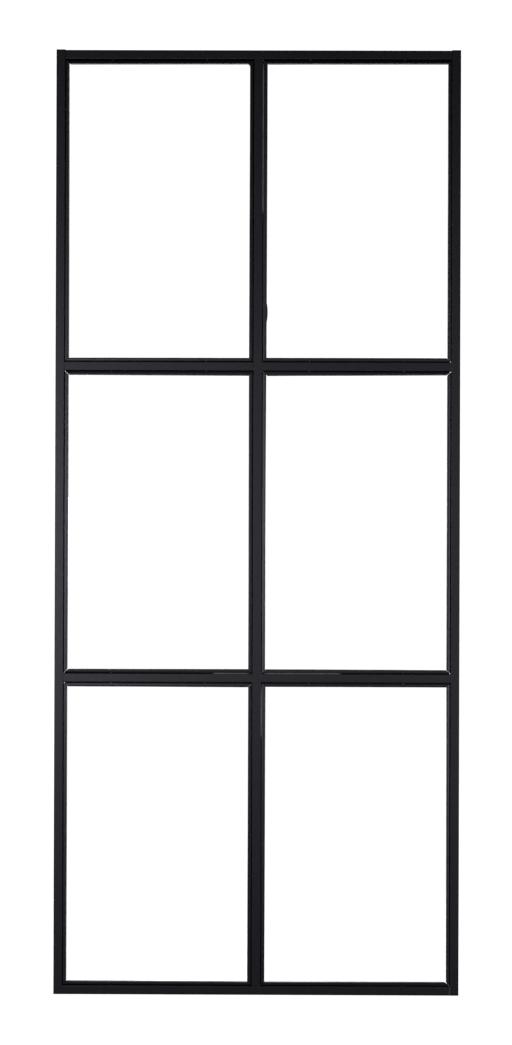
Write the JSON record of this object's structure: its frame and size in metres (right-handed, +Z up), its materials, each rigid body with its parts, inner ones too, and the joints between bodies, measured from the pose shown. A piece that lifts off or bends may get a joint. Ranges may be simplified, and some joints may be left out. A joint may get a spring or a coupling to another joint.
{
  "type": "interior glass partition",
  "caption": "Tall, slim steel-framed interior glass partition: a black grid of equal fixed clear panes held by clip-on mitred beads.",
  "frame": {"origin": "middle of the bottom rail's flat underside, halfway through the frame's depth", "axes": "+Z up, +X along the width to the right seen from the bead side, -Y towards the bead side"},
  "size_m": [0.9, 0.04, 2.1],
  "materials": {
    "frame": "fine satin black powder coat",
    "bead": "fine satin black powder coat",
    "glass": "clear, polished",
    "gasket": "matt black rubber",
    "cap": "fine-grained black plastic"
  },
  "bodies": {
    "root": {"glass_top_left": "glass", "gasket_top_left": "gasket", "bead_top_left_head": "bead", "bead_top_left_sill": "bead", "bead_top_left_jamb_left": "bead", "bead_top_left_jamb_right": "bead", "glass_top_right": "glass", "gasket_top_right": "gasket", "bead_top_right_head": "bead", "bead_top_right_sill": "bead", "bead_top_right_jamb_left": "bead", "bead_top_right_jamb_right": "bead", "glass_middle_left": "glass", "gasket_middle_left": "gasket", "bead_middle_left_head": "bead", "bead_middle_left_sill": "bead", "bead_middle_left_jamb_left": "bead", "bead_middle_left_jamb_right": "bead", "glass_middle_right": "glass", "gasket_middle_right": "gasket", "bead_middle_right_head": "bead", "bead_middle_right_sill": "bead", "bead_middle_right_jamb_left": "bead", "bead_middle_right_jamb_right": "bead", "glass_bottom_left": "glass", "gasket_bottom_left": "gasket", "bead_bottom_left_head": "bead", "bead_bottom_left_sill": "bead", "bead_bottom_left_jamb_left": "bead", "bead_bottom_left_jamb_right": "bead", "glass_bottom_right": "glass", "gasket_bottom_right": "gasket", "bead_bottom_right_head": "bead", "bead_bottom_right_sill": "bead", "bead_bottom_right_jamb_left": "bead", "bead_bottom_right_jamb_right": "bead", "stile_left": "frame", "stile_right": "frame", "top_rail": "frame", "bottom_rail": "frame", "mullion": "frame", "transom_upper_left": "frame", "transom_upper_right": "frame", "transom_lower_left": "frame", "transom_lower_right": "frame", "stile_cap_left": "cap", "stile_cap_right": "cap"}
  },
  "joints": []
}
